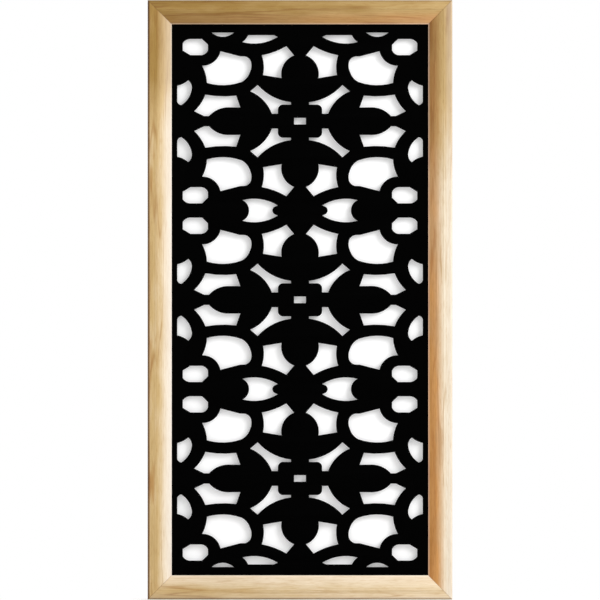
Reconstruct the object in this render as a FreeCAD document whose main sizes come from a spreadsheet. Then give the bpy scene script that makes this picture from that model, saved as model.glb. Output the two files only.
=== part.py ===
import FreeCAD, Part
import os
from types import SimpleNamespace

import Sketcher

# Decorative screen module: a black fretwork sheet in a mitred frame of moulded pine.
# Millimetres. X runs across the module, Z runs up, and the front faces -Y.
# The origin is under the middle of the bottom edge, half way through the frame's thickness.

SIZES = {
    # whole frame
    "frame_wide": 610.0,
    "frame_high": 1200.0,
    "rail_face": 48.0,
    "rail_thick": 32.0,
    # rebate in the back of the rails
    "rebate_wide": 12.0,
    "rebate_deep": 15.0,
    # moulding, from the sight edge outwards
    "sight_land": 2.5,
    "lip_thick": 5.0,
    "quirk_step": 1.0,
    "slope_wide": 11.5,
    "band_wide": 18.0,
    "band_step": 0.6,
    "band_fall": 1.2,
    "edge_round": 3.5,
    "back_arris": 1.5,
    # fretwork sheet and its repeat
    "panel_thick": 6.0,
    "panel_clearance": 2.0,
    "side_margin": 11.0,
    "end_margin": 15.0,
    "motif_count": 3,
    # retaining beads
    "bead_setback": 1.0,
    "bead_arris": 1.5,
    # brads through the beads: flat wire with a T head and a cut point
    "brad_long": 20.0,
    "brad_wide": 1.25,
    "brad_thick": 1.05,
    "brad_head_wide": 1.9,
    "brad_head_thick": 0.8,
    "brad_point": 1.2,
    "brad_end": 40.0,
    "side_brad_count": 6,
    "end_brad_count": 3,
    # wedge nails across the mitres
    "nail_leg": 8.0,
    "nail_deep": 10.0,
    "nail_gauge": 1.0,
    "outer_nail_inset": 10.0,
    "inner_nail_inset": 28.0,
    # keyhole hanging plates let into the stiles
    "plate_long": 60.0,
    "plate_wide": 18.0,
    "plate_thick": 2.0,
    "plate_clip": 2.0,
    "plate_from_edge": 16.0,
    "plate_below_top": 120.0,
    "plate_play": 0.2,
    "entry_hole": 10.0,
    "hang_slot": 5.0,
    "hang_rise": 12.0,
    "head_pocket_wide": 13.0,
    "head_pocket_deep": 10.0,
    # countersunk screws through the plates
    "screw_shank": 3.5,
    "screw_head": 7.0,
    "screw_long": 16.0,
    "screw_end": 8.0,
    "screw_play": 0.1,
    # room past a screw's or a brad's tip, and how far every cut runs past what it cuts
    "tip_clearance": 1.0,
    "overrun": 2.0,
}

# Outlines of the cut-outs in one quarter of a motif, as shares of half the motif's width across
# and half its height up, from the motif's centre. A row is the next corner of a straight side,
# or a point that an arc passes through and then the corner where it ends.
CENTRE_SLOT_SHARES = [
    [(0.048, 0.037)],
    [(-0.048, 0.037)],
    [(-0.048, -0.037)],
    [(0.048, -0.037)],
]
WING_SHARES = [
    [(0.486, 0.153)],
    [(0.585, 0.155)],
    [(0.675, 0.126), (0.741, 0.057)],
    [(0.782, 0.058)],
    [(0.862, 0.111)],
    [(0.808, 0.197), (0.771, 0.297)],
    [(0.645, 0.278), (0.520, 0.286)],
]
FORKED_LEAF_SHARES = [
    [(0.074, 0.185)],
    [(0.133, 0.185)],
    [(0.167, 0.169), (0.180, 0.123)],
    [(0.180, 0.083)],
    [(0.229, 0.083)],
    [(0.298, 0.234), (0.406, 0.334)],
    [(0.345, 0.405)],
    [(0.222, 0.274), (0.074, 0.212)],
]
SIDE_LEAF_SHARES = [
    [(0.908, 0.260), (0.967, 0.179)],
    [(1.000, 0.219)],
    [(1.000, 0.398)],
    [(0.911, 0.458)],
    [(0.881, 0.369)],
]
PALM_LEAF_SHARES = [
    [(0.769, 0.527), (0.797, 0.621)],
    [(0.701, 0.665), (0.648, 0.783)],
    [(0.488, 0.726)],
    [(0.450, 0.725)],
    [(0.420, 0.706), (0.400, 0.668)],
    [(0.396, 0.610), (0.407, 0.553)],
    [(0.433, 0.486), (0.476, 0.439)],
    [(0.616, 0.403), (0.758, 0.428)],
]
STAR_SHARES = [
    [(0.301, 0.516)],
    [(0.295, 0.628), (0.311, 0.738)],
    [(0.207, 0.777), (0.111, 0.840)],
    [(0.048, 0.736)],
    [(0.133, 0.635), (0.150, 0.482)],
]
OVAL_SHARES = [
    [(0.750, 0.857)],
    [(0.750, 0.793)],
    [(0.776, 0.751), (0.816, 0.739)],
    [(0.893, 0.739)],
    [(0.955, 0.790)],
    [(0.955, 0.874)],
    [(0.925, 0.910), (0.886, 0.920)],
    [(0.798, 0.920)],
]
# The eye lies across the line where two motifs meet, and is cut short where the sheet ends.
EYE_SHARES = [
    [(0.181, 0.943)],
    [(0.325, 0.873), (0.469, 0.885)],
    [(0.415, 1.000), (0.469, 1.115)],
    [(0.325, 1.127), (0.181, 1.057)],
    [(0.203, 1.044)],
    [(0.225, 1.000), (0.203, 0.956)],
]
END_EYE_SHARES = [
    [(0.181, 0.943)],
    [(0.325, 0.873), (0.469, 0.885)],
    [(0.440, 0.923), (0.422, 0.963)],
    [(0.213, 0.963)],
]
END_CRESCENT_SHARES = [
    [(0.539, 0.992)],
    [(0.629, 0.944), (0.720, 0.992)],
]
QUARTER_MOTIF_SHARES = {
    "wing": WING_SHARES,
    "forked_leaf": FORKED_LEAF_SHARES,
    "side_leaf": SIDE_LEAF_SHARES,
    "palm_leaf": PALM_LEAF_SHARES,
    "star": STAR_SHARES,
    "oval": OVAL_SHARES,
}
# The moulding's section: how much of its rise the straight slope takes, where the middle of an arc
# that starts level lies, and where the middle of a quarter round lies.
SLOPE_RISE_SHARE = 0.606
FLAT_ARC_SHARE = 0.25
ROUND_MIDDLE_SHARE = 0.293


class Measure:
    """A named size, or a sum of them, as a value and as the formula that binds a property to it."""

    def __init__(self, value, formula):
        self.value = value
        self.formula = formula

    def _joined(self, other, sign, value):
        return Measure(value, "(" + self.formula + sign + other.formula + ")")

    def __add__(self, other):
        other = measure(other)
        return self._joined(other, " + ", self.value + other.value)

    def __sub__(self, other):
        other = measure(other)
        return self._joined(other, " - ", self.value - other.value)

    def __mul__(self, factor):
        factor = measure(factor)
        return self._joined(factor, " * ", self.value * factor.value)

    def __truediv__(self, factor):
        factor = measure(factor)
        return self._joined(factor, " / ", self.value / factor.value)

    def __neg__(self):
        return Measure(-self.value, "(0 - " + self.formula + ")")

    def __rmul__(self, factor):
        return self * factor


def measure(item):
    """A bare count or factor as a measure, so that it can stand in a formula."""
    if isinstance(item, Measure):
        return item
    return Measure(item, "(%r)" % item)


# The driving sizes, each in a cell with its own name.
doc = FreeCAD.newDocument("decorative_screen_module")
sheet = doc.addObject("Spreadsheet::Sheet", "Sizes")
for row, (name, value) in enumerate(SIZES.items(), start=1):
    sheet.set("A%d" % row, name)
    sheet.set("B%d" % row, str(value))
    sheet.setAlias("B%d" % row, name)
doc.recompute()
size = SimpleNamespace(**{name: Measure(value, "Sizes." + name) for name, value in SIZES.items()})

# Sizes that follow from them.
ZERO = measure(0)
PAIR = measure(2)
opening_wide = size.frame_wide - 2 * size.rail_face
opening_high = size.frame_high - 2 * size.rail_face
bead_thick = size.rebate_deep - size.panel_thick
panel_wide = opening_wide + 2 * (size.rebate_wide - size.panel_clearance)
panel_high = opening_high + 2 * (size.rebate_wide - size.panel_clearance)
motif_half_wide = opening_wide / 2 - size.side_margin
motif_high = (opening_high - 2 * size.end_margin) / size.motif_count
side_brad_span = opening_high + 2 * (size.rebate_wide - size.brad_end)
end_brad_span = opening_wide + 2 * (size.rebate_wide - size.brad_end)
plate_across = size.frame_wide / 2 - size.plate_from_edge
plate_rise = size.frame_high / 2 - size.plate_below_top
plate_screw_span = size.plate_long - 2 * size.screw_end
screw_neck = (size.screw_head - size.screw_shank) / 2
entry_rise = (size.entry_hole / 2 - size.hang_rise - size.hang_slot / 2) / 2


def drive(thing, path, amount):
    """Bind a property of an object to a formula on the sheet."""
    thing.setExpression(path, amount.formula)


def new_body(name):
    body = doc.addObject("PartDesign::Body", name)
    body.Label = name
    body.AllowCompound = True
    return body


def origin_feature(body, role):
    return [feature for feature in body.Origin.OriginFeatures if feature.Role == role][0]


def new_sketch(body, name, plane, across=ZERO, along=ZERO, out=ZERO, turn=0.0):
    """A sketch on one of the body's own planes, moved and turned in that plane."""
    sketch = body.newObject("Sketcher::SketchObject", name)
    sketch.AttachmentSupport = (origin_feature(body, plane), [""])
    sketch.MapMode = "FlatFace"
    place = FreeCAD.Vector(across.value, along.value, out.value)
    sketch.AttachmentOffset = FreeCAD.Placement(place, FreeCAD.Rotation(FreeCAD.Vector(0, 0, 1), turn))
    drive(sketch, "AttachmentOffset.Base.x", across)
    drive(sketch, "AttachmentOffset.Base.y", along)
    drive(sketch, "AttachmentOffset.Base.z", out)
    return sketch


def flat_point(point):
    return FreeCAD.Vector(point[0].value, point[1].value, 0)


def pin_point(sketch, edge, vertex, point):
    """Hold one vertex of the sketch at a point given in named sizes."""
    first = sketch.ConstraintCount
    sketch.addConstraint([
        Sketcher.Constraint("DistanceX", -1, 1, edge, vertex, point[0].value),
        Sketcher.Constraint("DistanceY", -1, 1, edge, vertex, point[1].value),
    ])
    drive(sketch, "Constraints[%d]" % first, point[0])
    drive(sketch, "Constraints[%d]" % (first + 1), point[1])


def end_vertices(sketch, edge, start):
    """The vertex numbers of an edge's start and end, for an edge drawn from the point start."""
    first = sketch.getPoint(edge, 1)
    last = sketch.getPoint(edge, 2)
    target = flat_point(start)
    if first.distanceToPoint(target) <= last.distanceToPoint(target):
        return 1, 2
    return 2, 1


def draw_outline(sketch, rows):
    """Draw a closed outline of straight sides and arcs, and pin each of its points."""
    corners = [row[-1] for row in rows]
    edges = []
    for index, row in enumerate(rows):
        start = corners[index - 1]
        if len(row) == 1:
            curve = Part.LineSegment(flat_point(start), flat_point(row[0]))
        else:
            curve = Part.Arc(flat_point(start), flat_point(row[0]), flat_point(row[1]))
        edge = sketch.addGeometry(curve, False)
        start_vertex, end_vertex = end_vertices(sketch, edge, start)
        edges.append((edge, start_vertex, end_vertex))
    for index, (edge, start_vertex, end_vertex) in enumerate(edges):
        previous, _, previous_end = edges[index - 1]
        sketch.addConstraint(Sketcher.Constraint("Coincident", previous, previous_end, edge, start_vertex))
        pin_point(sketch, edge, end_vertex, corners[index])
    for (edge, _, _), row in zip(edges, rows):
        if len(row) == 2:
            mark = sketch.addGeometry(Part.Point(flat_point(row[0])), True)
            pin_point(sketch, mark, 1, row[0])
            sketch.addConstraint(Sketcher.Constraint("PointOnObject", mark, 1, edge))


def scaled_outline(rows, across, along):
    """Turn rows of shares into rows of points."""
    return [[(across * x_share, along * y_share) for x_share, y_share in row] for row in rows]


def draw_rectangle(sketch, left, bottom, right, top):
    draw_outline(sketch, [[(left, bottom)], [(right, bottom)], [(right, top)], [(left, top)]])


def draw_stadium(sketch, wide, low, high):
    """A slot outline with round ends, upright and centred across, whose ends lie at low and high."""
    half = wide / 2
    draw_outline(sketch, [
        [(half, high - half)],
        [(ZERO, high), (-half, high - half)],
        [(-half, low + half)],
        [(ZERO, low), (half, low + half)],
    ])


def draw_circle(sketch, radius):
    circle = Part.Circle(FreeCAD.Vector(0, 0, 0), FreeCAD.Vector(0, 0, 1), radius.value)
    edge = sketch.addGeometry(circle, False)
    sketch.addConstraint(Sketcher.Constraint("Coincident", edge, 3, -1, 1))
    bound = sketch.addConstraint(Sketcher.Constraint("Radius", edge, radius.value))
    drive(sketch, "Constraints[%d]" % bound, radius)


def pad(body, sketch, length, symmetric=False, backwards=False):
    feature = body.newObject("PartDesign::Pad", sketch.Name + "_pad")
    feature.Profile = sketch
    feature.Midplane = symmetric
    feature.Reversed = backwards
    drive(feature, "Length", length)
    return feature


def pocket(body, sketch, depth=None, symmetric=False, backwards=False):
    """Cut a sketch into the body to a depth, or right through."""
    feature = body.newObject("PartDesign::Pocket", sketch.Name + "_pocket")
    feature.Profile = sketch
    feature.Midplane = symmetric
    feature.Reversed = backwards
    if depth is None:
        feature.Type = "ThroughAll"
    else:
        drive(feature, "Length", depth)
    return feature


def turn_solid(body, sketch, kind):
    """Turn a sketch about its own level axis, into a solid or a cut."""
    feature = body.newObject("PartDesign::" + kind, sketch.Name + "_turned")
    feature.Profile = sketch
    feature.ReferenceAxis = (sketch, ["H_Axis"])
    return feature


def set_row(body, pattern, span, count):
    """Make a linear pattern run up the body's own Z axis, over a span and in a number of steps."""
    pattern.Direction = (origin_feature(body, "Z_Axis"), [""])
    pattern.Length = span.value
    pattern.Occurrences = int(count.value)
    drive(pattern, "Length", span)
    drive(pattern, "Occurrences", count)


def row_along(body, feature, span, count):
    pattern = body.newObject("PartDesign::LinearPattern", feature.Name + "_row")
    pattern.Originals = [feature]
    set_row(body, pattern, span, count)
    body.Tip = pattern


def repeat(body, name, features, mirrors, span=None, count=None):
    """Mirror features in one plane after another, then set them out in a row up the body."""
    pattern = body.newObject("PartDesign::MultiTransform", name + "_repeat")
    pattern.Originals = features
    steps = []
    for mirror in mirrors:
        step = body.newObject("PartDesign::Mirrored", name + "_mirror")
        step.MirrorPlane = mirror
        steps.append(step)
    if count is not None:
        step = body.newObject("PartDesign::LinearPattern", name + "_row")
        set_row(body, step, span, count)
        steps.append(step)
    pattern.Transformations = steps
    body.Tip = pattern


def place(body, turns, across, depth, height):
    """Turn a body about the world's axes, one turn after another, and bind its place."""
    rotation = FreeCAD.Rotation()
    for axis, angle in turns:
        rotation = FreeCAD.Rotation(axis, angle) * rotation
    body.Placement = FreeCAD.Placement(FreeCAD.Vector(0, 0, 0), rotation)
    drive(body, "Placement.Base.x", across)
    drive(body, "Placement.Base.y", depth)
    drive(body, "Placement.Base.z", height)


# Each side of the frame is drawn lying the same way: X from the sight edge outwards, Y from the
# back of the frame to its front, and Z along the side from its middle. It is then turned into place.
ABOUT_X = FreeCAD.Vector(1, 0, 0)
ABOUT_Y = FreeCAD.Vector(0, 1, 0)
ABOUT_Z = FreeCAD.Vector(0, 0, 1)
FACE_FRONT = (ABOUT_X, 180.0)
frame_back = size.rail_thick / 2
SIDES = [
    SimpleNamespace(
        name="left", rail="left_stile", turn=180.0, up=1,
        long=size.frame_high, span=side_brad_span, count=size.side_brad_count,
        across=-opening_wide / 2, height=size.frame_high / 2),
    SimpleNamespace(
        name="right", rail="right_stile", turn=0.0, up=-1,
        long=size.frame_high, span=side_brad_span, count=size.side_brad_count,
        across=opening_wide / 2, height=size.frame_high / 2),
    SimpleNamespace(
        name="top", rail="top_rail", turn=-90.0, up=0,
        long=size.frame_wide, span=end_brad_span, count=size.end_brad_count,
        across=ZERO, height=size.frame_high - size.rail_face),
    SimpleNamespace(
        name="bottom", rail="bottom_rail", turn=90.0, up=0,
        long=size.frame_wide, span=end_brad_span, count=size.end_brad_count,
        across=ZERO, height=size.rail_face),
]
CORNERS = [
    SimpleNamespace(name="bottom_left", turn=-90.0, across=-size.frame_wide / 2, height=ZERO),
    SimpleNamespace(name="top_left", turn=0.0, across=-size.frame_wide / 2, height=size.frame_high),
    SimpleNamespace(name="top_right", turn=90.0, across=size.frame_wide / 2, height=size.frame_high),
    SimpleNamespace(name="bottom_right", turn=180.0, across=size.frame_wide / 2, height=ZERO),
]


def place_side(body, side):
    place(body, [FACE_FRONT, (ABOUT_Y, side.turn)], side.across, frame_back, side.height)


def moulding_outline():
    """The rail's section: back, outer edge, round, band, step, crown, slope, quirk, land and rebate."""
    band_start = size.rail_face - size.band_wide
    band_end = size.rail_face - size.edge_round
    band_low = size.rail_thick - size.band_fall
    crown_top = size.rail_thick - size.band_step
    lip_front = size.rebate_deep + size.lip_thick
    slope_foot = lip_front + size.quirk_step
    slope_end = size.sight_land + size.slope_wide
    slope_top = slope_foot + SLOPE_RISE_SHARE * (crown_top - slope_foot)
    crown_run = band_start - slope_end
    return [
        [(size.rebate_wide, ZERO)],
        [(size.rail_face - size.back_arris, ZERO)],
        [(size.rail_face, size.back_arris)],
        [(size.rail_face, band_low - size.edge_round)],
        [(size.rail_face - ROUND_MIDDLE_SHARE * size.edge_round,
          band_low - ROUND_MIDDLE_SHARE * size.edge_round), (band_end, band_low)],
        [(band_start + (band_end - band_start) / 2,
          size.rail_thick - FLAT_ARC_SHARE * size.band_fall), (band_start, size.rail_thick)],
        [(band_start, crown_top)],
        [(slope_end + crown_run / 2,
          crown_top - FLAT_ARC_SHARE * (crown_top - slope_top)), (slope_end, slope_top)],
        [(size.sight_land, slope_foot)],
        [(size.sight_land, lip_front)],
        [(ZERO, lip_front)],
        [(ZERO, size.rebate_deep)],
        [(size.rebate_wide, size.rebate_deep)],
    ]


def cut_mitres(body, prefix, side):
    """Cut both ends on the frame's diagonals, so that each end meets its neighbour."""
    inner = -size.overrun
    outer = size.rail_face + size.overrun
    tip = side.long / 2 + size.overrun
    sketch = new_sketch(body, prefix + "_mitres", "XZ_Plane")
    for sign in (1, -1):
        draw_outline(sketch, [
            [(inner, (tip - (outer - inner)) * sign)],
            [(outer, tip * sign)],
            [(inner, tip * sign)],
        ])
    pocket(body, sketch)


def cut_nail_slots(body, side):
    """Cut the slots that the wedge nails fill, two at each end."""
    sketch = new_sketch(body, side.rail + "_nail_slots", "XZ_Plane")
    for inset in (size.outer_nail_inset, size.inner_nail_inset):
        left = size.rail_face - inset - size.nail_gauge / 2
        right = size.rail_face - inset + size.nail_gauge / 2
        near = side.long / 2 - inset + size.nail_gauge / 2
        far = side.long / 2 - inset - size.nail_leg
        for sign in (1, -1):
            draw_rectangle(sketch, left, far * sign, right, near * sign)
    pocket(body, sketch, size.nail_deep)


def new_brad_sketch(body, name, side):
    """A sketch at the first brad, half way through the bead, from the bead's face outwards."""
    return new_sketch(
        body, name, "XZ_Plane",
        across=size.bead_setback, along=-side.span / 2, out=-bead_thick / 2)


def cut_brad_slots(body, name, side):
    """Cut the row of slots that the brads fill, T-shaped at the mouth for their heads."""
    sketch = new_brad_sketch(body, name + "_brad_slot", side)
    half_head = size.brad_head_wide / 2
    half_wide = size.brad_wide / 2
    end = size.brad_long + size.tip_clearance
    draw_outline(sketch, [
        [(ZERO, -half_head)],
        [(size.brad_head_thick, -half_head)],
        [(size.brad_head_thick, -half_wide)],
        [(end, -half_wide)],
        [(end, half_wide)],
        [(size.brad_head_thick, half_wide)],
        [(size.brad_head_thick, half_head)],
        [(ZERO, half_head)],
    ])
    slot = pocket(body, sketch, size.brad_thick, symmetric=True)
    row_along(body, slot, side.span, side.count)


def cut_plate_recess(body, side):
    """Let a stile in for its hanging plate, with room behind it for a screw's head."""
    spot = dict(
        across=size.rail_face - size.plate_from_edge,
        along=plate_rise * side.up,
        turn=0.0 if side.up > 0 else 180.0)
    recess = new_sketch(body, side.rail + "_plate_recess", "XZ_Plane", **spot)
    half_wide = size.plate_wide / 2 + size.plate_play
    half_long = size.plate_long / 2 + size.plate_play
    draw_rectangle(recess, -half_wide, -half_long, half_wide, half_long)
    pocket(body, recess, size.plate_thick)
    room = new_sketch(body, side.rail + "_head_pocket", "XZ_Plane", **spot)
    half_room = size.head_pocket_wide / 2
    draw_stadium(
        room, size.head_pocket_wide, entry_rise - half_room, entry_rise + size.hang_rise + half_room)
    pocket(body, room, size.head_pocket_deep)
    spot["along"] = plate_rise * side.up - plate_screw_span / 2
    pilot = new_sketch(body, side.rail + "_pilot", "XZ_Plane", **spot)
    draw_circle(pilot, size.screw_shank / 2 + size.screw_play)
    bored = pocket(body, pilot, size.screw_long + size.tip_clearance)
    row_along(body, bored, plate_screw_span, PAIR)


def make_rail(side):
    body = new_body(side.rail)
    section = new_sketch(body, side.rail + "_section", "XY_Plane")
    draw_outline(section, moulding_outline())
    pad(body, section, side.long, symmetric=True)
    cut_mitres(body, side.rail, side)
    cut_nail_slots(body, side)
    cut_brad_slots(body, side.rail, side)
    if side.up:
        cut_plate_recess(body, side)
    place_side(body, side)
    return body


def make_bead(side):
    """The strip that holds the sheet in its rebate, mitred at both ends and tacked through."""
    name = side.name + "_bead"
    body = new_body(name)
    section = new_sketch(body, name + "_section", "XY_Plane")
    draw_outline(section, [
        [(size.bead_setback + size.bead_arris, ZERO)],
        [(size.rebate_wide, ZERO)],
        [(size.rebate_wide, bead_thick)],
        [(size.bead_setback, bead_thick)],
        [(size.bead_setback, size.bead_arris)],
    ])
    pad(body, section, side.long, symmetric=True)
    cut_mitres(body, name, side)
    cut_brad_slots(body, name, side)
    place_side(body, side)
    return body


def make_brads(side):
    """The row of brads through one bead, with flat heads flush with its face and cut points."""
    name = side.name + "_brads"
    body = new_body(name)
    outline = new_brad_sketch(body, name + "_outline", side)
    half_head = size.brad_head_wide / 2
    half_wide = size.brad_wide / 2
    draw_outline(outline, [
        [(ZERO, -half_head)],
        [(size.brad_head_thick, -half_head)],
        [(size.brad_head_thick, -half_wide)],
        [(size.brad_long - size.brad_point, -half_wide)],
        [(size.brad_long, ZERO)],
        [(size.brad_long - size.brad_point, half_wide)],
        [(size.brad_head_thick, half_wide)],
        [(size.brad_head_thick, half_head)],
        [(ZERO, half_head)],
    ])
    row_along(body, pad(body, outline, size.brad_thick, symmetric=True), side.span, side.count)
    place_side(body, side)
    return body


def make_corner_nails(corner):
    """Two wedge nails across one mitre, bent so that each leg lies along a rail."""
    name = "corner_nails_" + corner.name
    body = new_body(name)
    outline = new_sketch(body, name + "_outline", "XZ_Plane")
    for inset in (size.outer_nail_inset, size.inner_nail_inset):
        outside = inset - size.nail_gauge / 2
        inside = inset + size.nail_gauge / 2
        tip = inset + size.nail_leg
        draw_outline(outline, [
            [(outside, outside)],
            [(tip, outside)],
            [(tip, inside)],
            [(inside, inside)],
            [(inside, tip)],
            [(outside, tip)],
        ])
    pad(body, outline, size.nail_deep, backwards=True)
    place(body, [FACE_FRONT, (ABOUT_Y, corner.turn)], corner.across, frame_back, corner.height)
    return body


def draw_plate_blank(sketch):
    """A rectangle with its four corners clipped."""
    side_edge = size.plate_wide / 2
    end_edge = size.plate_long / 2
    clipped_side = side_edge - size.plate_clip
    clipped_end = end_edge - size.plate_clip
    draw_outline(sketch, [
        [(side_edge, -clipped_end)],
        [(side_edge, clipped_end)],
        [(clipped_side, end_edge)],
        [(-clipped_side, end_edge)],
        [(-side_edge, clipped_end)],
        [(-side_edge, -clipped_end)],
        [(-clipped_side, -end_edge)],
        [(clipped_side, -end_edge)],
    ])


def make_keyhole_plate(side):
    """A steel plate with a keyhole: the screw's head goes in at the bottom and hangs at the top."""
    name = "keyhole_plate_" + side.name
    body = new_body(name)
    blank = new_sketch(body, name + "_blank", "XZ_Plane")
    draw_plate_blank(blank)
    pad(body, blank, size.plate_thick, backwards=True)
    entry = new_sketch(body, name + "_entry", "XZ_Plane", along=entry_rise)
    draw_circle(entry, size.entry_hole / 2)
    pocket(body, entry)
    slot = new_sketch(body, name + "_slot", "XZ_Plane", along=entry_rise)
    half_slot = size.hang_slot / 2
    draw_stadium(slot, size.hang_slot, -half_slot, size.hang_rise + half_slot)
    pocket(body, slot)
    hole = new_sketch(body, name + "_hole", "XY_Plane", out=-plate_screw_span / 2, turn=90.0)
    neck_radius = size.screw_shank / 2 + size.screw_play
    head_radius = size.screw_head / 2 + size.screw_play
    draw_outline(hole, [
        [(-size.overrun, ZERO)],
        [(size.plate_thick + size.overrun, ZERO)],
        [(size.plate_thick + size.overrun, neck_radius)],
        [(screw_neck, neck_radius)],
        [(ZERO, head_radius)],
        [(-size.overrun, head_radius)],
    ])
    row_along(body, turn_solid(body, hole, "Groove"), plate_screw_span, PAIR)
    place(body, [(ABOUT_Z, 180.0)], -plate_across * side.up, frame_back, size.frame_high / 2 + plate_rise)
    return body


def make_plate_screws():
    """The countersunk screws of both plates, two in each."""
    name = "plate_screws"
    body = new_body(name)
    outline = new_sketch(
        body, name + "_outline", "XY_Plane", across=plate_across, out=-plate_screw_span / 2, turn=90.0)
    draw_outline(outline, [
        [(ZERO, ZERO)],
        [(size.screw_long, ZERO)],
        [(size.screw_long, size.screw_shank / 2)],
        [(screw_neck, size.screw_shank / 2)],
        [(ZERO, size.screw_head / 2)],
    ])
    screw = turn_solid(body, outline, "Revolution")
    repeat(body, name, [screw], [(origin_feature(body, "YZ_Plane"), [""])], plate_screw_span, PAIR)
    place(body, [(ABOUT_Z, 180.0)], ZERO, frame_back, size.frame_high / 2 + plate_rise)
    return body


def cut_fretwork(body, name, outlines, centre, mirrors, rise=None, count=None):
    """Cut outlines drawn about a motif's centre, then mirror them and repeat them up the sheet."""
    cuts = []
    for outline_name, rows in outlines.items():
        sketch = new_sketch(body, outline_name, "XZ_Plane", along=centre)
        draw_outline(sketch, scaled_outline(rows, motif_half_wide, motif_high / 2))
        cuts.append(pocket(body, sketch, backwards=True))
    planes = {
        "across": (sketch, ["V_Axis"]),
        "up the motif": (sketch, ["H_Axis"]),
        "up the sheet": (origin_feature(body, "XY_Plane"), [""]),
    }
    repeat(body, name, cuts, [planes[mirror] for mirror in mirrors], rise, count)


def make_fretwork_panel():
    """The black sheet, cut through with one motif three times and with half eyes at its ends."""
    name = "fretwork_panel"
    body = new_body(name)
    blank = new_sketch(body, name + "_blank", "XZ_Plane")
    draw_rectangle(blank, -panel_wide / 2, -panel_high / 2, panel_wide / 2, panel_high / 2)
    pad(body, blank, size.panel_thick)
    reach = motif_high * (size.motif_count - 1)
    low = -reach / 2
    ends = {"end_eye": END_EYE_SHARES, "end_crescent": END_CRESCENT_SHARES}
    cut_fretwork(body, "ends", ends, -low, ["across", "up the sheet"])
    cut_fretwork(body, "slots", {"centre_slot": CENTRE_SLOT_SHARES}, low, [], reach, size.motif_count)
    cut_fretwork(body, "eyes", {"eye": EYE_SHARES}, low, ["across"], reach - motif_high, size.motif_count - 1)
    cut_fretwork(body, "motifs", QUARTER_MOTIF_SHARES, low, ["across", "up the motif"], reach, size.motif_count)
    place(body, [], ZERO, frame_back - bead_thick, size.frame_high / 2)
    return body


bodies = [make_fretwork_panel()]
bodies += [make_rail(side) for side in SIDES]
bodies += [make_bead(side) for side in SIDES]
bodies += [make_brads(side) for side in SIDES]
bodies += [make_corner_nails(corner) for corner in CORNERS]
bodies += [make_keyhole_plate(side) for side in SIDES if side.up]
bodies.append(make_plate_screws())
doc.recompute()

for thing in doc.Objects:
    if "Invalid" in thing.State or "Error" in thing.State:
        raise RuntimeError("%s failed: %s" % (thing.Label, thing.State))
for body in bodies:
    if body.Shape.isNull() or not body.Shape.isValid():
        raise RuntimeError("%s has no valid shape" % body.Label)

os.makedirs("parts", exist_ok=True)
for body in bodies:
    body.Shape.exportStep("parts/%s.step" % body.Label)
    print("%-28s %2d solids %12.1f mm3" % (body.Label, len(body.Shape.Solids), body.Shape.Volume))
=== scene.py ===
# %% [markdown]
# This scene dresses a decorative screen module: a black sheet cut through with fretwork, held in a
# mitred frame of moulded pine. The solids come from the CAD model. Blender's part is how they look:
# smooth mouldings, fine edges, wood grain and light. Everything is in metres. X runs across the
# module, Z runs up, and the front faces -Y.

# %% Load the frame
import math

import bmesh
import bpy
from mathutils import Matrix, Vector


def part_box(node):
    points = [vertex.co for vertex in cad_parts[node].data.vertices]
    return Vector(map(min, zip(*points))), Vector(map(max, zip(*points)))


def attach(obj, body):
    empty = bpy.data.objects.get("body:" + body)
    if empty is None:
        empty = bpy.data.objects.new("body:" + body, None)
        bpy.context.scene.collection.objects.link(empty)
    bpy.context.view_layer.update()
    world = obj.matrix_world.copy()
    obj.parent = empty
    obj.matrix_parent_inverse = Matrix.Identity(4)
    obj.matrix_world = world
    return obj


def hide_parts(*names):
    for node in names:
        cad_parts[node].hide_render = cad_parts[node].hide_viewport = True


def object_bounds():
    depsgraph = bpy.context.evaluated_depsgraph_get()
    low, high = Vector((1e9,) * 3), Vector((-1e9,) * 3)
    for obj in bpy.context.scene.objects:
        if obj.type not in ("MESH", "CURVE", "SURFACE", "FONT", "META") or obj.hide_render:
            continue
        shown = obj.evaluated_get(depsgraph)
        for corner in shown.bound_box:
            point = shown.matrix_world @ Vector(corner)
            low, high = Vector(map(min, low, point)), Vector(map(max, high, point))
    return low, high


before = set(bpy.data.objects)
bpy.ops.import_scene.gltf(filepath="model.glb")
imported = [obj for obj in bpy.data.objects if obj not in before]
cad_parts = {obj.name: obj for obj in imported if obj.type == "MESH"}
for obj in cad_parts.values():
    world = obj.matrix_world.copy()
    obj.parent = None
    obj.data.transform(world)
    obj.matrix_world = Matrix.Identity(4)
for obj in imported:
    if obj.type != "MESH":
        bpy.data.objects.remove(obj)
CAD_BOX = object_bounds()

print("CAD nodes:", len(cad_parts))

# %% [markdown]
# The frame's main sizes are read from the solids, so that the looks can't drift away from the
# construction. Only what the solids don't say, such as the course of the moulding, gets a value
# here.

# %% Read the sizes of the frame
MM = 0.001
LOW, HIGH = CAD_BOX
HALF_WIDE = HIGH.x
TALL = HIGH.z
BACK = HIGH.y
RAIL_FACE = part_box("bottom_rail")[1].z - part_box("bottom_rail")[0].z
RAIL_THICK = HIGH.y - LOW.y
SHEET_LOW, SHEET_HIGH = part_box("fretwork_panel")
REBATE_DEEP = BACK - SHEET_LOW.y
REBATE_WIDE = RAIL_FACE - (HALF_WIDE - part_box("right_bead")[1].x)
BEAD_THICK = BACK - SHEET_HIGH.y
BEAD_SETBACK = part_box("right_bead")[0].x - (HALF_WIDE - RAIL_FACE)
print("rail face %.1f mm" % (RAIL_FACE / MM))
print("rebate %.1f x %.1f mm" % (REBATE_WIDE / MM, REBATE_DEEP / MM))

# %% [markdown]
# An outline is written as rows. A row with one point is a straight side to that point. A row with
# two is an arc that passes through the first and ends at the second. Three points fix a circle,
# whose centre lies where the two perpendiculars meet, so an arc needs no list of points.

# %% A helper that draws arcs through three points
ARC_STEP = math.radians(6.0)


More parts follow.
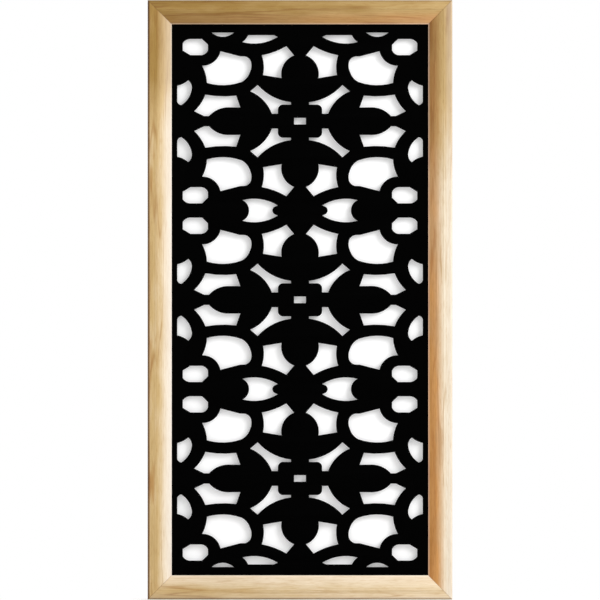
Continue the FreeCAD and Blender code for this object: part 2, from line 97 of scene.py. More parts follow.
def arc_points(start, middle, end):
    """Points along the circle through three points, from after the start up to the end."""
    a, b, c = (Vector(point) for point in (start, middle, end))
    turn = 2 * (a.x * (b.y - c.y) + b.x * (c.y - a.y) + c.x * (a.y - b.y))
    squares = [point.length_squared for point in (a, b, c)]
    centre = Vector((
        (squares[0] * (b.y - c.y) + squares[1] * (c.y - a.y) + squares[2] * (a.y - b.y)) / turn,
        (squares[0] * (c.x - b.x) + squares[1] * (a.x - c.x) + squares[2] * (b.x - a.x)) / turn))
    first = math.atan2(a.y - centre.y, a.x - centre.x)
    full = 2 * math.pi
    sweep = (math.atan2(c.y - centre.y, c.x - centre.x) - first) % full
    through = (math.atan2(b.y - centre.y, b.x - centre.x) - first) % full
    if through > sweep:
        sweep -= full
    count = max(2, math.ceil(abs(sweep) / ARC_STEP))
    radius = (a - centre).length
    angles = [first + sweep * step / count for step in range(1, count + 1)]
    return [centre + radius * Vector((math.cos(angle), math.sin(angle))) for angle in angles]


def outline_points(rows):
    """The corners of a closed outline, with each of its arcs as a run of short steps."""
    points = []
    start = rows[-1][-1]
    for row in rows:
        points += [Vector(row[0])] if len(row) == 1 else arc_points(start, row[0], row[1])
        start = row[-1]
    return points


# %% [markdown]
# The moulding is what the eye meets first. Going outwards from the sight edge it has a narrow land,
# a small quirk, a straight slope, a soft crown, a fine step and a gently falling outer band that
# rolls over into the edge. Its section is drawn once, with distances from the sight edge and from
# the back, and all four rails use it.

# %% The sections of rail and bead
SIGHT_LAND = 2.5 * MM
LIP_THICK = 5.0 * MM
QUIRK_STEP = 1.0 * MM
SLOPE_WIDE = 11.5 * MM
SLOPE_RISE_SHARE = 0.606
BAND_WIDE = 18.0 * MM
BAND_STEP = 0.6 * MM
BAND_FALL = 1.2 * MM
EDGE_ROUND = 3.5 * MM
BACK_ARRIS = 1.5 * MM
BEAD_ARRIS = 1.5 * MM
FLAT_ARC_SHARE = 0.25
ROUND_MIDDLE_SHARE = 0.293

lip_front = REBATE_DEEP + LIP_THICK
slope_foot = lip_front + QUIRK_STEP
slope_end = SIGHT_LAND + SLOPE_WIDE
crown_top = RAIL_THICK - BAND_STEP
slope_top = slope_foot + SLOPE_RISE_SHARE * (crown_top - slope_foot)
band_start = RAIL_FACE - BAND_WIDE
band_end = RAIL_FACE - EDGE_ROUND
band_low = RAIL_THICK - BAND_FALL
round_in = ROUND_MIDDLE_SHARE * EDGE_ROUND
MOULDING = [
    [(REBATE_WIDE, 0)],
    [(RAIL_FACE - BACK_ARRIS, 0)],
    [(RAIL_FACE, BACK_ARRIS)],
    [(RAIL_FACE, band_low - EDGE_ROUND)],
    [(RAIL_FACE - round_in, band_low - round_in), (band_end, band_low)],
    [((band_start + band_end) / 2, RAIL_THICK - FLAT_ARC_SHARE * BAND_FALL),
     (band_start, RAIL_THICK)],
    [(band_start, crown_top)],
    [((slope_end + band_start) / 2, crown_top - FLAT_ARC_SHARE * (crown_top - slope_top)),
     (slope_end, slope_top)],
    [(SIGHT_LAND, slope_foot)],
    [(SIGHT_LAND, lip_front)],
    [(0, lip_front)],
    [(0, REBATE_DEEP)],
    [(REBATE_WIDE, REBATE_DEEP)],
]
BEAD = [
    [(BEAD_SETBACK + BEAD_ARRIS, 0)],
    [(REBATE_WIDE, 0)],
    [(REBATE_WIDE, BEAD_THICK)],
    [(BEAD_SETBACK, BEAD_THICK)],
    [(BEAD_SETBACK, BEAD_ARRIS)],
]
print("moulding points:", len(outline_points(MOULDING)))

# %% [markdown]
# A rail is made as a joiner makes it: a length of moulding, with its sharp edges eased by a stroke
# of sandpaper, sawn at 45 degrees at both ends. In Blender that is a face extruded into a bar, a
# bevel on its long sharp edges, and two cuts by a plane, each closed with a new face. The cut edges
# get a fine bevel too, which shows as the hairline of the mitre. A bevel needs room on both sides
# of its edge, so the edges of the step, which is narrower than two bevels, stay sharp.

# %% Build mitred strips
ACROSS = Vector((1, 0, 0))
UP = Vector((0, 0, 1))
INWARDS = Vector((0, 1, 0))
MIDDLE = UP * TALL / 2
EASED_EDGE = 0.35 * MM
MITRE_EDGE = 0.15 * MM
SHARP_ANGLE = math.radians(25.0)
SIDES = {
    "left": (-ACROSS, UP, HALF_WIDE, TALL),
    "right": (ACROSS, UP, HALF_WIDE, TALL),
    "top": (UP, ACROSS, TALL / 2, 2 * HALF_WIDE),
    "bottom": (-UP, ACROSS, TALL / 2, 2 * HALF_WIDE),
}
RAIL_NODES = {
    "left": "left_stile",
    "right": "right_stile",
    "top": "top_rail",
    "bottom": "bottom_rail",
}


def add_piece(name, mesh, node):
    """Put a finished mesh in the scene in place of a CAD node."""
    piece = bpy.data.objects.new(name, mesh)
    bpy.context.scene.collection.objects.link(piece)
    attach(piece, "root")
    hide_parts(node)
    return piece


def mesh_of(bm, name):
    """The finished mesh of a bmesh, which is then let go."""
    mesh = bpy.data.meshes.new(name)
    bm.to_mesh(mesh)
    bm.free()
    return mesh


def finish_mesh(bm, name):
    """Turn a bmesh into a smooth-shaded mesh whose hard edges stay crisp."""
    bmesh.ops.recalc_face_normals(bm, faces=bm.faces)
    for face in bm.faces:
        face.smooth = True
    mesh = mesh_of(bm, name)
    mesh.set_sharp_from_angle(angle=SHARP_ANGLE)
    return mesh


def ease_edges(bm, edges, amount):
    """Round some edges over by a small amount."""
    bmesh.ops.bevel(
        bm, geom=edges, offset=amount, segments=2, profile=0.5, affect="EDGES", material=-1)


def mitred_strip(name, section, side):
    """A strip along one side of the frame, cut at both ends on the frame's diagonals."""
    outwards, along, reach, long = SIDES[side]
    bm = bmesh.new()
    corners = [
        bm.verts.new(MIDDLE + outwards * (reach - RAIL_FACE + point.x) + INWARDS * (BACK - point.y)
                     - along * long / 2)
        for point in outline_points(section)]
    end = bm.faces.new(corners)
    bar = bmesh.ops.extrude_face_region(bm, geom=[end])["geom"]
    moved = [item for item in bar if isinstance(item, bmesh.types.BMVert)]
    bmesh.ops.translate(bm, vec=along * long, verts=moved)
    bmesh.ops.recalc_face_normals(bm, faces=bm.faces)
    room = 2 * EASED_EDGE * long
    long_edges = [
        edge for edge in bm.edges
        if edge.calc_length() > long / 2 and edge.calc_face_angle(0) > SHARP_ANGLE
        and min(face.calc_area() for face in edge.link_faces) > room]
    ease_edges(bm, long_edges, EASED_EDGE)
    for sign in (1, -1):
        tip = MIDDLE + outwards * reach + along * (long / 2 * sign)
        cut = bmesh.ops.bisect_plane(
            bm, geom=bm.verts[:] + bm.edges[:] + bm.faces[:], plane_co=tip,
            plane_no=along * sign - outwards, clear_outer=True)["geom_cut"]
        rim = [item for item in cut if isinstance(item, bmesh.types.BMEdge)]
        bmesh.ops.contextual_create(bm, geom=rim)
        ease_edges(bm, rim, MITRE_EDGE)
    return finish_mesh(bm, name)


rails = {}
beads = {}
for side, node in RAIL_NODES.items():
    rail_mesh = mitred_strip(node, MOULDING, side)
    rails[side] = add_piece("moulded_" + node, rail_mesh, node)
    bead_node = side + "_bead"
    bead_mesh = mitred_strip(bead_node, BEAD, side)
    beads[side] = add_piece("wood_" + bead_node, bead_mesh, bead_node)
    print(node, len(rail_mesh.polygons), "faces,", bead_node, len(bead_mesh.polygons))

# %% [markdown]
# Cutting needs shapes to cut with. A prism is one face pushed out to a depth, as a router cuts. A
# turned shape is half of a section spun round an axis, as a drill cuts. A Boolean modifier then
# takes each of them away from the piece, and its result is kept as the piece's own mesh. The
# Boolean leaves spare points in the middle of straight edges, which are dissolved again, and
# normals of its own, which would smear the shading over the new edges, so they are taken off.

# %% Helpers for cutting
TURN_STEPS = 48
WELD = 0.001 * MM
STRAIGHT = math.radians(5.0)
OVERRUN = 2.0 * MM


def prism(points, front, back):
    """A face drawn in the plane of the front, pushed out from one depth to another."""
    bm = bmesh.new()
    face = bm.faces.new([bm.verts.new((point[0], back, point[1])) for point in points])
    grown = bmesh.ops.extrude_face_region(bm, geom=[face])["geom"]
    moved = [item for item in grown if isinstance(item, bmesh.types.BMVert)]
    bmesh.ops.translate(bm, vec=INWARDS * (front - back), verts=moved)
    bmesh.ops.recalc_face_normals(bm, faces=bm.faces)
    return mesh_of(bm, "prism")


def turned(profile, place):
    """A solid turned about a level axis: rows of (depth in from the back, radius)."""
    bm = bmesh.new()
    verts = [bm.verts.new(place + Vector((radius, -depth, 0))) for depth, radius in profile]
    edges = [bm.edges.new(pair) for pair in zip(verts, verts[1:])]
    bmesh.ops.spin(
        bm, geom=verts + edges, cent=place, axis=INWARDS, angle=2 * math.pi, steps=TURN_STEPS,
        use_merge=True)
    bmesh.ops.remove_doubles(bm, verts=bm.verts, dist=WELD)
    bmesh.ops.recalc_face_normals(bm, faces=bm.faces)
    return mesh_of(bm, "turned")


def merged_copy(node, way):
    """A CAD node's solids, joined up from loose triangles, and made to stand proud in one way."""
    bm = bmesh.new()
    bm.from_mesh(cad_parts[node].data)
    bmesh.ops.remove_doubles(bm, verts=bm.verts, dist=WELD)
    reach = max(vert.co.dot(way) for vert in bm.verts)
    proud = [vert for vert in bm.verts if vert.co.dot(way) > reach - WELD]
    bmesh.ops.translate(bm, vec=way * OVERRUN, verts=proud)
    return mesh_of(bm, node + "_cutter")


def cut_piece(piece, meshes):
    """Cut a piece by each mesh in turn, and keep only the result."""
    cutters = []
    for mesh in meshes:
        cutter = bpy.data.objects.new(mesh.name, mesh)
        bpy.context.scene.collection.objects.link(cutter)
        cutters.append(cutter)
        modifier = piece.modifiers.new("cut", "BOOLEAN")
        modifier.operation = "DIFFERENCE"
        modifier.solver = "EXACT"
        modifier.object = cutter
    graph = bpy.context.evaluated_depsgraph_get()
    bm = bmesh.new()
    bm.from_mesh(bpy.data.meshes.new_from_object(piece.evaluated_get(graph)))
    bmesh.ops.dissolve_degenerate(bm, edges=bm.edges, dist=WELD)
    spare = [
        vert for vert in bm.verts
        if len(vert.link_edges) == 2 and vert.calc_edge_angle(1.0) < STRAIGHT]
    bmesh.ops.dissolve_verts(bm, verts=spare)
    mesh = mesh_of(bm, piece.name)
    if "custom_normal" in mesh.attributes:
        mesh.attributes.remove(mesh.attributes["custom_normal"])
    mesh.set_sharp_from_angle(angle=SHARP_ANGLE)
    piece.modifiers.clear()
    piece.data = mesh
    for cutter in cutters:
        bpy.data.objects.remove(cutter)


print("a turned shape has", TURN_STEPS, "steps")

# %% [markdown]
# The wood gives way where metal sits in it: wedge nails across the mitres, brads through the beads,
# and a shallow recess with a deeper pocket for each hanging plate, whose two screws have pilot
# holes. A slot for a nail's leg is a prism that runs out through the mitre. The brads cut their own
# slots, through merged copies of their solids.

# %% Cut the wood for its metal
NAIL_INSETS = (10.0 * MM, 28.0 * MM)
NAIL_LEG = 8.0 * MM
NAIL_GAUGE = 1.0 * MM
NAIL_DEEP = 10.0 * MM
PLATE_PLAY = 0.2 * MM
HEAD_ROOM_RADIUS = 6.5 * MM
HEAD_ROOM_DEEP = 10.0 * MM
ENTRY_RADIUS = 5.0 * MM
SLOT_RADIUS = 2.5 * MM
HANG_RISE = 12.0 * MM
SCREW_SPAN = 44.0 * MM
SCREW_SHANK_RADIUS = 1.75 * MM
SCREW_PLAY = 0.1 * MM
SCREW_LONG = 16.0 * MM
TIP_ROOM = 1.0 * MM
ENTRY_RISE = (ENTRY_RADIUS - HANG_RISE - SLOT_RADIUS) / 2


def nail_slots(side):
    """A slot for each leg of the nails at both ends of a rail."""
    outwards, along, reach, long = SIDES[side]
    slots = []
    for inset in NAIL_INSETS:
        inner, outer = reach - inset - NAIL_GAUGE / 2, reach - inset + NAIL_GAUGE / 2
        near, far = long / 2 - inset + OVERRUN, long / 2 - inset - NAIL_LEG
        for sign in (1, -1):
            corners = [
                MIDDLE + outwards * level + along * (rise * sign)
                for level, rise in ((inner, far), (outer, far), (outer, near), (inner, near))]
            points = [(corner.x, corner.z) for corner in corners]
            slots.append(prism(points, BACK - NAIL_DEEP, BACK + OVERRUN))
    return slots


def plate_middle(node):
    """The middle of a plate's back."""
    low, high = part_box(node)
    return Vector(((low.x + high.x) / 2, BACK, (low.z + high.z) / 2))


def plate_spots(node):
    """Where the two screws of a plate enter its back."""
    return [plate_middle(node) + UP * SCREW_SPAN / 2 * sign for sign in (1, -1)]


def plate_cutters(node):
    """The plate's recess, the round-ended pocket for the wall screw's head, and the pilot holes."""
    low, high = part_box(node)
    left, right = low.x - PLATE_PLAY, high.x + PLATE_PLAY
    bottom, top = low.z - PLATE_PLAY, high.z + PLATE_PLAY
    blank = [(left, bottom), (right, bottom), (right, top), (left, top)]
    middle = plate_middle(node)
    room = HEAD_ROOM_RADIUS
    entry = middle.z + ENTRY_RISE
    hung = entry + HANG_RISE
    slot = outline_points([
        [(middle.x, entry - room), (middle.x + room, entry)],
        [(middle.x + room, hung)],
        [(middle.x, hung + room), (middle.x - room, hung)],
        [(middle.x - room, entry)],
    ])
    radius = SCREW_SHANK_RADIUS + SCREW_PLAY
    deep = SCREW_LONG + TIP_ROOM
    pilot = [(-OVERRUN, 0), (-OVERRUN, radius), (deep, radius), (deep, 0)]
    return [
        prism(blank, low.y, BACK + OVERRUN),
        prism(slot, BACK - HEAD_ROOM_DEEP, BACK + OVERRUN),
        *[turned(pilot, spot) for spot in plate_spots(node)]]


for side, (outwards, _, _, _) in SIDES.items():
    brads = side + "_brads"
    cut_piece(beads[side], [merged_copy(brads, -outwards)])
    cutters = nail_slots(side) + [merged_copy(brads, -outwards)]
    if side in ("left", "right"):
        cutters += plate_cutters("keyhole_plate_" + side)
    cut_piece(rails[side], cutters)
    print(side, "rail cut by", len(cutters), "shapes to", len(rails[side].data.polygons), "faces")

# %% [markdown]
# The sheet is the ornament. One quarter of a motif holds six openings, which are mirrored across
# and up round a small slot in the middle, and the motif repeats three times up the sheet. Eyes lie
# where two motifs meet, and cut-off eyes and crescents fill the two ends. The openings are written
# as shares of half the motif's width and half its height, as the CAD source has them.

# %% The openings in one quarter of the motif
SIDE_MARGIN = 11.0 * MM
END_MARGIN = 15.0 * MM
MOTIF_COUNT = 3
MOTIF_HALF_WIDE = HALF_WIDE - RAIL_FACE - SIDE_MARGIN
MOTIF_HALF_HIGH = (TALL / 2 - RAIL_FACE - END_MARGIN) / MOTIF_COUNT
CENTRE_SLOT_SHARES = [
    [(0.048, 0.037)],
    [(-0.048, 0.037)],
    [(-0.048, -0.037)],
    [(0.048, -0.037)],
]
QUARTER_SHARES = {
    "wing": [
        [(0.486, 0.153)],
        [(0.585, 0.155)],
        [(0.675, 0.126), (0.741, 0.057)],
        [(0.782, 0.058)],
        [(0.862, 0.111)],
        [(0.808, 0.197), (0.771, 0.297)],
        [(0.645, 0.278), (0.520, 0.286)],
    ],
    "forked_leaf": [
        [(0.074, 0.185)],
        [(0.133, 0.185)],
        [(0.167, 0.169), (0.180, 0.123)],
        [(0.180, 0.083)],
        [(0.229, 0.083)],
        [(0.298, 0.234), (0.406, 0.334)],
        [(0.345, 0.405)],
        [(0.222, 0.274), (0.074, 0.212)],
    ],
    "side_leaf": [
        [(0.908, 0.260), (0.967, 0.179)],
        [(0.988, 0.192), (1.000, 0.219)],
        [(1.000, 0.398)],
        [(0.952, 0.420), (0.911, 0.458)],
        [(0.888, 0.419), (0.881, 0.369)],
    ],
    "palm_leaf": [
        [(0.769, 0.527), (0.797, 0.621)],
        [(0.701, 0.665), (0.648, 0.783)],
        [(0.488, 0.726)],
        [(0.450, 0.725)],
        [(0.420, 0.706), (0.400, 0.668)],
        [(0.396, 0.610), (0.407, 0.553)],
        [(0.433, 0.486), (0.476, 0.439)],
        [(0.616, 0.403), (0.758, 0.428)],
    ],
    "star": [
        [(0.301, 0.516)],
        [(0.295, 0.628), (0.311, 0.738)],
        [(0.207, 0.777), (0.111, 0.840)],
        [(0.048, 0.736)],
        [(0.133, 0.635), (0.150, 0.482)],
    ],
    "oval": [
        [(0.750, 0.857)],
        [(0.750, 0.793)],
        [(0.776, 0.751), (0.816, 0.739)],
        [(0.893, 0.739)],
        [(0.955, 0.790)],
        [(0.955, 0.874)],
        [(0.925, 0.910), (0.886, 0.920)],
        [(0.798, 0.920)],
    ],
}
EYE_SHARES = [
    [(0.181, 0.943)],
    [(0.325, 0.873), (0.469, 0.885)],
    [(0.415, 1.000), (0.469, 1.115)],
    [(0.325, 1.127), (0.181, 1.057)],
    [(0.203, 1.044)],
    [(0.225, 1.000), (0.203, 0.956)],
]
END_SHARES = {
    "end_eye": [
        [(0.181, 0.943)],
        [(0.325, 0.873), (0.469, 0.885)],
        [(0.440, 0.923), (0.422, 0.963)],
        [(0.213, 0.963)],
    ],
    "end_crescent": [
        [(0.539, 0.992)],
        [(0.629, 0.944), (0.720, 0.992)],
    ],
}

# %% [markdown]
# A flat curve in Blender fills itself, leaves holes where loops lie inside one another, and grows a
# thickness and a rounded rim from two numbers. That suits anything cut from sheet. The rim is grown
# inwards by the same amount, so that the openings keep their true size.

# %% Cut the fretwork sheet
RIM = 0.3 * MM
SHEET_WELD = 0.002 * MM


def placed_rows(rows, flip_across, flip_up, centre):
    """An outline's rows in metres on the sheet, mirrored as asked, round a motif's centre."""
    wide, high = MOTIF_HALF_WIDE * flip_across, MOTIF_HALF_HIGH * flip_up
    return [[(x * wide, y * high + centre) for x, y in row] for row in rows]


def sheet_mesh(name, loops, thick, middle):
    """A mesh cut from sheet: the first loop is its edge, and the others are holes."""
    curve = bpy.data.curves.new(name, "CURVE")
    curve.dimensions = "2D"
    curve.fill_mode = "BOTH"
    curve.extrude = thick / 2 - RIM
    curve.bevel_depth = RIM
    curve.bevel_resolution = 1
    curve.offset = -RIM
    for points in loops:
        spline = curve.splines.new("POLY")
        spline.points.add(len(points) - 1)
        spline.use_cyclic_u = True
        for target, point in zip(spline.points, points):
            target.co = (point[0], point[1], 0, 1)
    flat = bpy.data.objects.new(name, curve)
    bpy.context.scene.collection.objects.link(flat)
    graph = bpy.context.evaluated_depsgraph_get()
    mesh = bpy.data.meshes.new_from_object(flat.evaluated_get(graph))
    bpy.data.objects.remove(flat)
    mesh.transform(Matrix.Translation(middle) @ Matrix.Rotation(math.radians(90.0), 4, "X"))
    bm = bmesh.new()
    bm.from_mesh(mesh)
    bmesh.ops.remove_doubles(bm, verts=bm.verts, dist=SHEET_WELD)
    return finish_mesh(bm, name)


sheet_middle = (SHEET_LOW + SHEET_HIGH) / 2
half_sheet = (SHEET_HIGH - SHEET_LOW) / 2
holes = []
for motif in range(MOTIF_COUNT):
    centre = (2 * motif + 1 - MOTIF_COUNT) * MOTIF_HALF_HIGH
    holes.append(placed_rows(CENTRE_SLOT_SHARES, 1, 1, centre))
    for across in (1, -1):
        if motif < MOTIF_COUNT - 1:
            holes.append(placed_rows(EYE_SHARES, across, 1, centre))
        for rows in QUARTER_SHARES.values():
            holes += [placed_rows(rows, across, up, centre) for up in (1, -1)]
end_centre = (MOTIF_COUNT - 1) * MOTIF_HALF_HIGH
for rows in END_SHARES.values():
    holes += [
        placed_rows(rows, across, up, end_centre * up) for across in (1, -1) for up in (1, -1)]
edge = [(-half_sheet.x, -half_sheet.z), (half_sheet.x, -half_sheet.z),
        (half_sheet.x, half_sheet.z), (-half_sheet.x, half_sheet.z)]
loops = [edge] + [outline_points(rows) for rows in holes]
panel_mesh = sheet_mesh("fretwork", loops, 2 * half_sheet.y, sheet_middle)
panel = add_piece("fretwork_sheet", panel_mesh, "fretwork_panel")
print("openings:", len(holes), "faces:", len(panel_mesh.polygons))

# %% [markdown]
# Each stile carries a steel plate with a keyhole: the head of a wall screw goes in at the round
# hole and the plate drops onto its shank. Real plates are stamped, so their edges are slightly
# rolled. The blank and its keyhole are one more piece of sheet, and the two countersinks are cut by
# a turned cone.

# %% Make the keyhole plates
PLATE_CLIP = 2.0 * MM
SCREW_HEAD_RADIUS = 3.5 * MM


def keyhole_points():
    """The keyhole: a round entry hole that opens into a narrower slot with a round end."""
    meet = ENTRY_RISE + math.sqrt(ENTRY_RADIUS ** 2 - SLOT_RADIUS ** 2)
    hung = ENTRY_RISE + HANG_RISE
    return outline_points([
        [(0, ENTRY_RISE - ENTRY_RADIUS), (SLOT_RADIUS, meet)],
        [(SLOT_RADIUS, hung)],
        [(0, hung + SLOT_RADIUS), (-SLOT_RADIUS, hung)],
        [(-SLOT_RADIUS, meet)],
    ])


def keyhole_plate(node):
    """A stamped plate with clipped corners, its keyhole and its two countersinks."""
    low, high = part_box(node)
    half = (high - low) / 2
    short, tall = half.x - PLATE_CLIP, half.z - PLATE_CLIP
    blank = [(half.x, -tall), (half.x, tall), (short, half.z), (-short, half.z),
             (-half.x, tall), (-half.x, -tall), (-short, -half.z), (short, -half.z)]
    mesh = sheet_mesh("stamped_" + node, [blank, keyhole_points()], 2 * half.y, (low + high) / 2)
    plate = add_piece("stamped_" + node, mesh, node)
    head = SCREW_HEAD_RADIUS + SCREW_PLAY
    shank = SCREW_SHANK_RADIUS + SCREW_PLAY
    through = 2 * half.y + OVERRUN
    sink = [
        (-OVERRUN, 0), (-OVERRUN, head), (0, head),
        (head - shank, shank), (through, shank), (through, 0)]
    cut_piece(plate, [turned(sink, spot) for spot in plate_spots(node)])
    return plate


plates = {side: keyhole_plate("keyhole_plate_" + side) for side in ("left", "right")}
for side, plate in plates.items():
    print(side, "plate:", len(plate.data.polygons), "faces")

# %% [markdown]
# A countersunk screw is turned too: a flat head that falls away in a cone, a shank, a thread and a
# point. The thread is drawn as rings, which look the same as a helix at this size. The cross in the
# head is cut with a tapered cross, made by pushing out a cross-shaped face and shrinking its far
# end.

# %% Make the plate screws
HEAD_EDGE = 0.25 * MM
THREAD_PITCH = 1.4 * MM
THREAD_CORE = 1.2 * MM
THREAD_START = 5.0 * MM
POINT_LONG = 3.0 * MM
CROSS_LONG = 1.9 * MM
CROSS_WIDE = 0.45 * MM
CROSS_DEEP = 1.7 * MM
CROSS_TAPER = 0.4


def screw_profile():
    """Half of a screw's section, as rows of (depth, radius), from the head to the point."""
    cone = SCREW_HEAD_RADIUS - SCREW_SHANK_RADIUS
    rows = [(0, 0), (0, SCREW_HEAD_RADIUS - HEAD_EDGE), (HEAD_EDGE / 2, SCREW_HEAD_RADIUS),
            (HEAD_EDGE, SCREW_HEAD_RADIUS - HEAD_EDGE / 2), (cone, SCREW_SHANK_RADIUS),
            (THREAD_START, SCREW_SHANK_RADIUS)]
    depth = THREAD_START
    while depth + THREAD_PITCH < SCREW_LONG - POINT_LONG:
        rows.append((depth + THREAD_PITCH / 2, THREAD_CORE))
        depth += THREAD_PITCH
        rows.append((depth, SCREW_SHANK_RADIUS))
    return rows + [(SCREW_LONG - POINT_LONG, THREAD_CORE), (SCREW_LONG, 0)]


def cross_cutter(place):
    """A cross that gets smaller as it goes into the screw's head."""
    bm = bmesh.new()
    verts = []
    arm = ((CROSS_LONG, -CROSS_WIDE), (CROSS_LONG, CROSS_WIDE), (CROSS_WIDE, CROSS_WIDE))
    for turn in range(4):
        quarter = Matrix.Rotation(math.radians(-90.0 * turn), 4, "Y")
        for x, z in arm:
            verts.append(bm.verts.new(place + quarter @ Vector((x, OVERRUN, z))))
    face = bm.faces.new(verts)
    grown = bmesh.ops.extrude_face_region(bm, geom=[face])["geom"]
    deep = [item for item in grown if isinstance(item, bmesh.types.BMVert)]
    bmesh.ops.translate(bm, vec=-INWARDS * (OVERRUN + CROSS_DEEP), verts=deep)
    bmesh.ops.scale(
        bm, vec=(CROSS_TAPER, 1, CROSS_TAPER), verts=deep, space=Matrix.Translation(-place))
    bmesh.ops.recalc_face_normals(bm, faces=bm.faces)
    return mesh_of(bm, "cross")


spots = [spot for side in plates for spot in plate_spots("keyhole_plate_" + side)]
threaded = bmesh.new()
for spot in spots:
    threaded.from_mesh(turned(screw_profile(), spot))
for face in threaded.faces:
    face.smooth = True
screw_mesh = mesh_of(threaded, "screws")
screws = add_piece("countersunk_screws", screw_mesh, "plate_screws")
cut_piece(screws, [cross_cutter(spot) for spot in spots])
print("screws:", len(spots), "faces:", len(screws.data.polygons))

# %% [markdown]
# A procedural finish is arithmetic on coordinates. To keep it readable, one small class wraps a
# value in the node tree, so that a sum or a product in the script adds the Math nodes. A second
# class holds the tree, and adds every other kind of node from its settings and its inputs. A third
# is a material, with a short name for each kind of node that a finish needs often.

# %% Helpers for node materials
class Signal:
    """A number that varies over the surface, which can be added, multiplied and so on."""

    def __init__(self, nodes, socket):
        self.nodes = nodes
        self.socket = socket

    def maths(self, operation, first, second=0.0):
        """One Math node, whose result is a signal again."""
        node = self.nodes.add("ShaderNodeMath", {"operation": operation}, {0: first, 1: second})
        return Signal(self.nodes, node.outputs[0])

    def __add__(self, other):
        return self.maths("ADD", self, other)

    def __radd__(self, other):
        return self.maths("ADD", other, self)

    def __sub__(self, other):
        return self.maths("SUBTRACT", self, other)

    def __rsub__(self, other):
        return self.maths("SUBTRACT", other, self)

    def __mul__(self, other):
        return self.maths("MULTIPLY", self, other)

    def __rmul__(self, other):
        return self.maths("MULTIPLY", other, self)

    def fraction(self):
        return self.maths("FRACT", self)

    def root(self):
        return self.maths("SQRT", self)

    def size(self):
        return self.maths("ABSOLUTE", self)

    def larger(self, other):
        return self.maths("MAXIMUM", self, other)

    def rise(self, low, high):
        """0 below low, 1 above high, and a smooth rise between them."""
        node = self.nodes.add(
            "ShaderNodeMapRange", {"interpolation_type": "SMOOTHSTEP"},
            {"Value": self, "From Min": low, "From Max": high})
        return Signal(self.nodes, node.outputs["Result"])


class Nodes:
    """An emptied node tree, and the one way to add a node to it."""

    def __init__(self, tree):
        self.tree = tree
        tree.nodes.clear()

    def add(self, kind, settings, inputs):
        """A node with its settings made first, and then each input set or joined."""
        node = self.tree.nodes.new(kind)
        for name, value in settings.items():
            if name == "stops":
                ramp = node.color_ramp.elements
                ramp.remove(ramp[1])
                ramp[0].position = value[0][0]
                ramp[0].color = (*value[0][1], 1.0)
                for position, colour in value[1:]:
                    ramp.new(position).color = (*colour, 1.0)
            else:
                setattr(node, name, value)
        for name, value in inputs.items():
            value = value.socket if isinstance(value, Signal) else value
            if isinstance(value, bpy.types.NodeSocket):
                self.tree.links.new(value, node.inputs[name])
            else:
                node.inputs[name].default_value = value
        return node


class Finish(Nodes):
    """A material, and short names for the nodes that a finish needs often."""

    def __init__(self, name):
        self.material = bpy.data.materials.new(name)
        self.material.use_nodes = True
        super().__init__(self.material.node_tree)

    def place(self, turn, stretch, shift):
        """The place on the object, turned, stretched and shifted."""
        spot = self.add("ShaderNodeTexCoord", {}, {}).outputs["Object"]
        turned_spot = self.add(
            "ShaderNodeMapping", {"vector_type": "POINT"}, {"Vector": spot, "Rotation": turn})
        return self.add(
            "ShaderNodeMapping", {"vector_type": "POINT"},
            {"Vector": turned_spot.outputs["Vector"], "Location": shift, "Scale": stretch}
        ).outputs["Vector"]

    def parts(self, vector):
        """A vector's x, y and z, each as a signal."""
        node = self.add("ShaderNodeSeparateXYZ", {}, {"Vector": vector})
        return [Signal(self, output) for output in node.outputs]

    def noise(self, vector, size, detail):
        """Noise from 0 to 1 whose features are about a given size."""
        node = self.add(
            "ShaderNodeTexNoise", {"noise_dimensions": "3D"},
            {"Vector": vector, "Scale": 1 / size, "Detail": detail})
        return Signal(self, node.outputs["Fac"])

    def blend(self, factor, first, second, way="MIX"):
        """Two colours mixed by a factor."""
        colours = [
            colour if isinstance(colour, bpy.types.NodeSocket) else (*colour, 1.0)
            for colour in (first, second)]
        node = self.add(
            "ShaderNodeMix", {"data_type": "RGBA", "blend_type": way},
            {0: factor, 6: colours[0], 7: colours[1]})
        return node.outputs[2]

    def ramp(self, factor, stops):
        """A colour read off a ramp of stops by a factor."""
        node = self.add("ShaderNodeValToRGB", {"stops": stops}, {"Fac": factor})
        return node.outputs["Color"]

    def ripple(self, height, deep):
        """A bump from a height between 0 and 1, and how deep it is in metres."""
        node = self.add("ShaderNodeBump", {}, {"Height": height, "Distance": deep})
        return node.outputs["Normal"]

    def close(self, inputs):
        """Close the tree with the surface shader."""
        shader = self.add("ShaderNodeBsdfPrincipled", {}, inputs)
        self.add("ShaderNodeOutputMaterial", {}, {"Surface": shader.outputs["BSDF"]})
        return self.material


def dress(piece, material):
    """Give a piece one material all over."""
    piece.data.materials.clear()
    piece.data.materials.append(material)


print("a finish can be made of:", ", ".join(name for name in vars(Finish) if name[0] != "_"))

# %% [markdown]
# The frame is pine under a satin lacquer. Before its colours, the finish has to know where on a
# board a point lies: how far out from the rail's middle, and how far along. The level rails use the
# same wood turned through a quarter, so their grain runs across.

# %% Find the place on a board
def board_place(wood, side):
    """How far out a point is, from -0.5 at the sight edge to 0.5, and its share of the length."""
    outwards, _, reach, long = SIDES[side]
    level = side in ("top", "bottom")
    turn = (0.0, math.radians(-90.0 if level else 0.0), 0.0)
    across, deep, along = wood.parts(wood.place(turn, (1.0, 1.0, 1.0), (0.0, 0.0, 0.0)))
    middle = MIDDLE + outwards * (reach - RAIL_FACE / 2)
    facing = -1.0 if side in ("left", "top") else 1.0
    out = (across - (-middle.z if level else middle.x)) * (facing / RAIL_FACE)
    share = (along + (long / 2 if level else 0.0)) * (1 / long)
    return turn, out, deep, share


print("boards:", sorted(SIDES))

